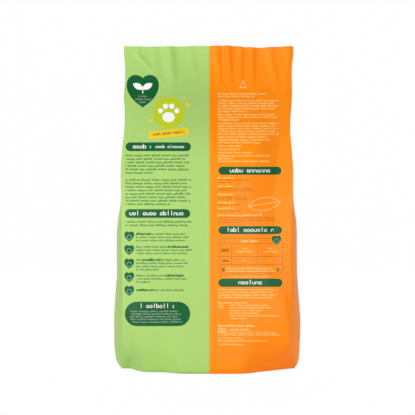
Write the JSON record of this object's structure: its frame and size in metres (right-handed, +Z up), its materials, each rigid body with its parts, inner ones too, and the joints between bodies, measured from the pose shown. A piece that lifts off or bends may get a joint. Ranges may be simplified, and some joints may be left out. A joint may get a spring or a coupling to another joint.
{
  "type": "pet food bag",
  "caption": "Filled, sealed side-gusset film bag of dry pet food that stands on its flat base, with a two-colour printed panel.",
  "frame": {"origin": "middle of the flat underside", "axes": "+Z up to the sealed top edge, -Y out of the printed panel, +X to its right as it is read"},
  "size_m": [0.186, 0.1056, 0.322],
  "materials": {
    "printed_film": "satin printed laminate film, light green on the left half and orange on the right half"
  },
  "bodies": {
    "root": {"bag": "printed_film"}
  },
  "joints": []
}
